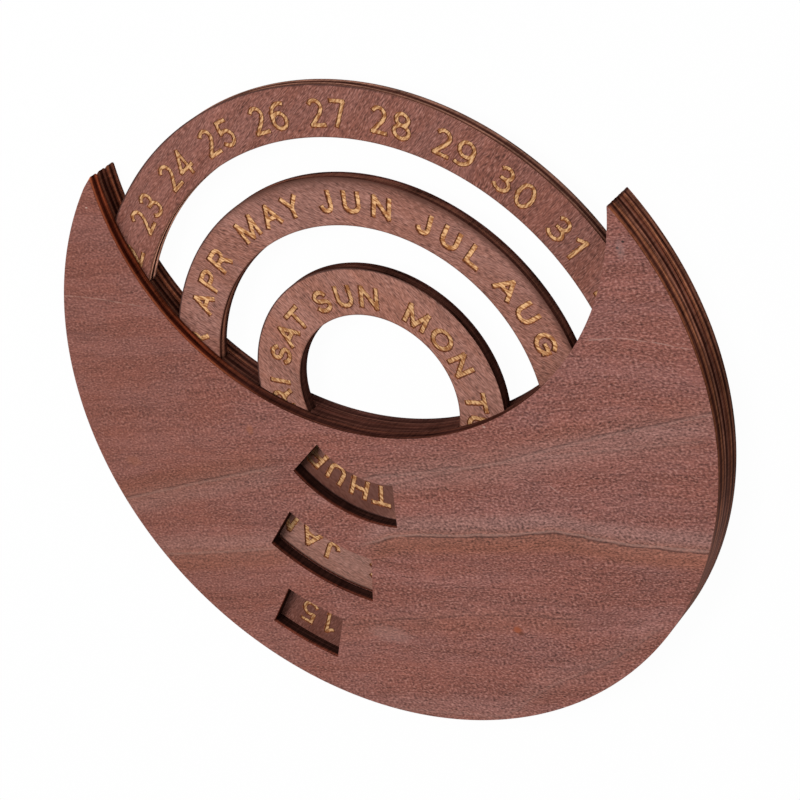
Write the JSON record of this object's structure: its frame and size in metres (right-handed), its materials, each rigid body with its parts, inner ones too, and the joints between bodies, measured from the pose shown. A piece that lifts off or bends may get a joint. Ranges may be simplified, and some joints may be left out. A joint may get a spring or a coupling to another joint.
{
  "type": "disc calendar",
  "caption": "Crescent plywood case with concentric rings trapped inside it; each ring turns freely about the disc's centre and shows its date, month or weekday through a window.",
  "frame": {"origin": "middle of the object's box, in the plane of the back face that it lies on; the rings turn about the line parallel to Z through x 0, y 3.85 mm", "axes": "+Z is the way the face looks, +Y is the side where the bite opens and the rings stick out, +X is to the right when looking at the face with the bite at the top"},
  "size_m": [0.15, 0.1422, 0.009],
  "materials": {
    "face_veneer": "stained walnut-brown veneer, satin",
    "back_veneer": "stained walnut-brown veneer, satin",
    "ring_veneer": "stained walnut-brown veneer, satin, with engraved marks",
    "spacer_wood": "plywood, edges charred by the laser"
  },
  "bodies": {
    "case": {"front_plate": "face_veneer", "back_plate": "back_veneer", "outer_rim": "spacer_wood", "outer_guide": "spacer_wood", "inner_guide": "spacer_wood", "centre_spacer": "spacer_wood"},
    "date_ring": {"date_ring": "ring_veneer"},
    "month_ring": {"month_ring": "ring_veneer"},
    "weekday_ring": {"weekday_ring": "ring_veneer"}
  },
  "joints": [
    {"name": "date_ring_turn", "type": "hinge", "parent": "case", "child": "date_ring", "pos_m": [0, 0.00385, 0.0045], "axis": [0, 0, 1], "continuous": true},
    {"name": "month_ring_turn", "type": "hinge", "parent": "case", "child": "month_ring", "pos_m": [0, 0.00385, 0.0045], "axis": [0, 0, 1], "continuous": true},
    {"name": "weekday_ring_turn", "type": "hinge", "parent": "case", "child": "weekday_ring", "pos_m": [0, 0.00385, 0.0045], "axis": [0, 0, 1], "continuous": true}
  ]
}
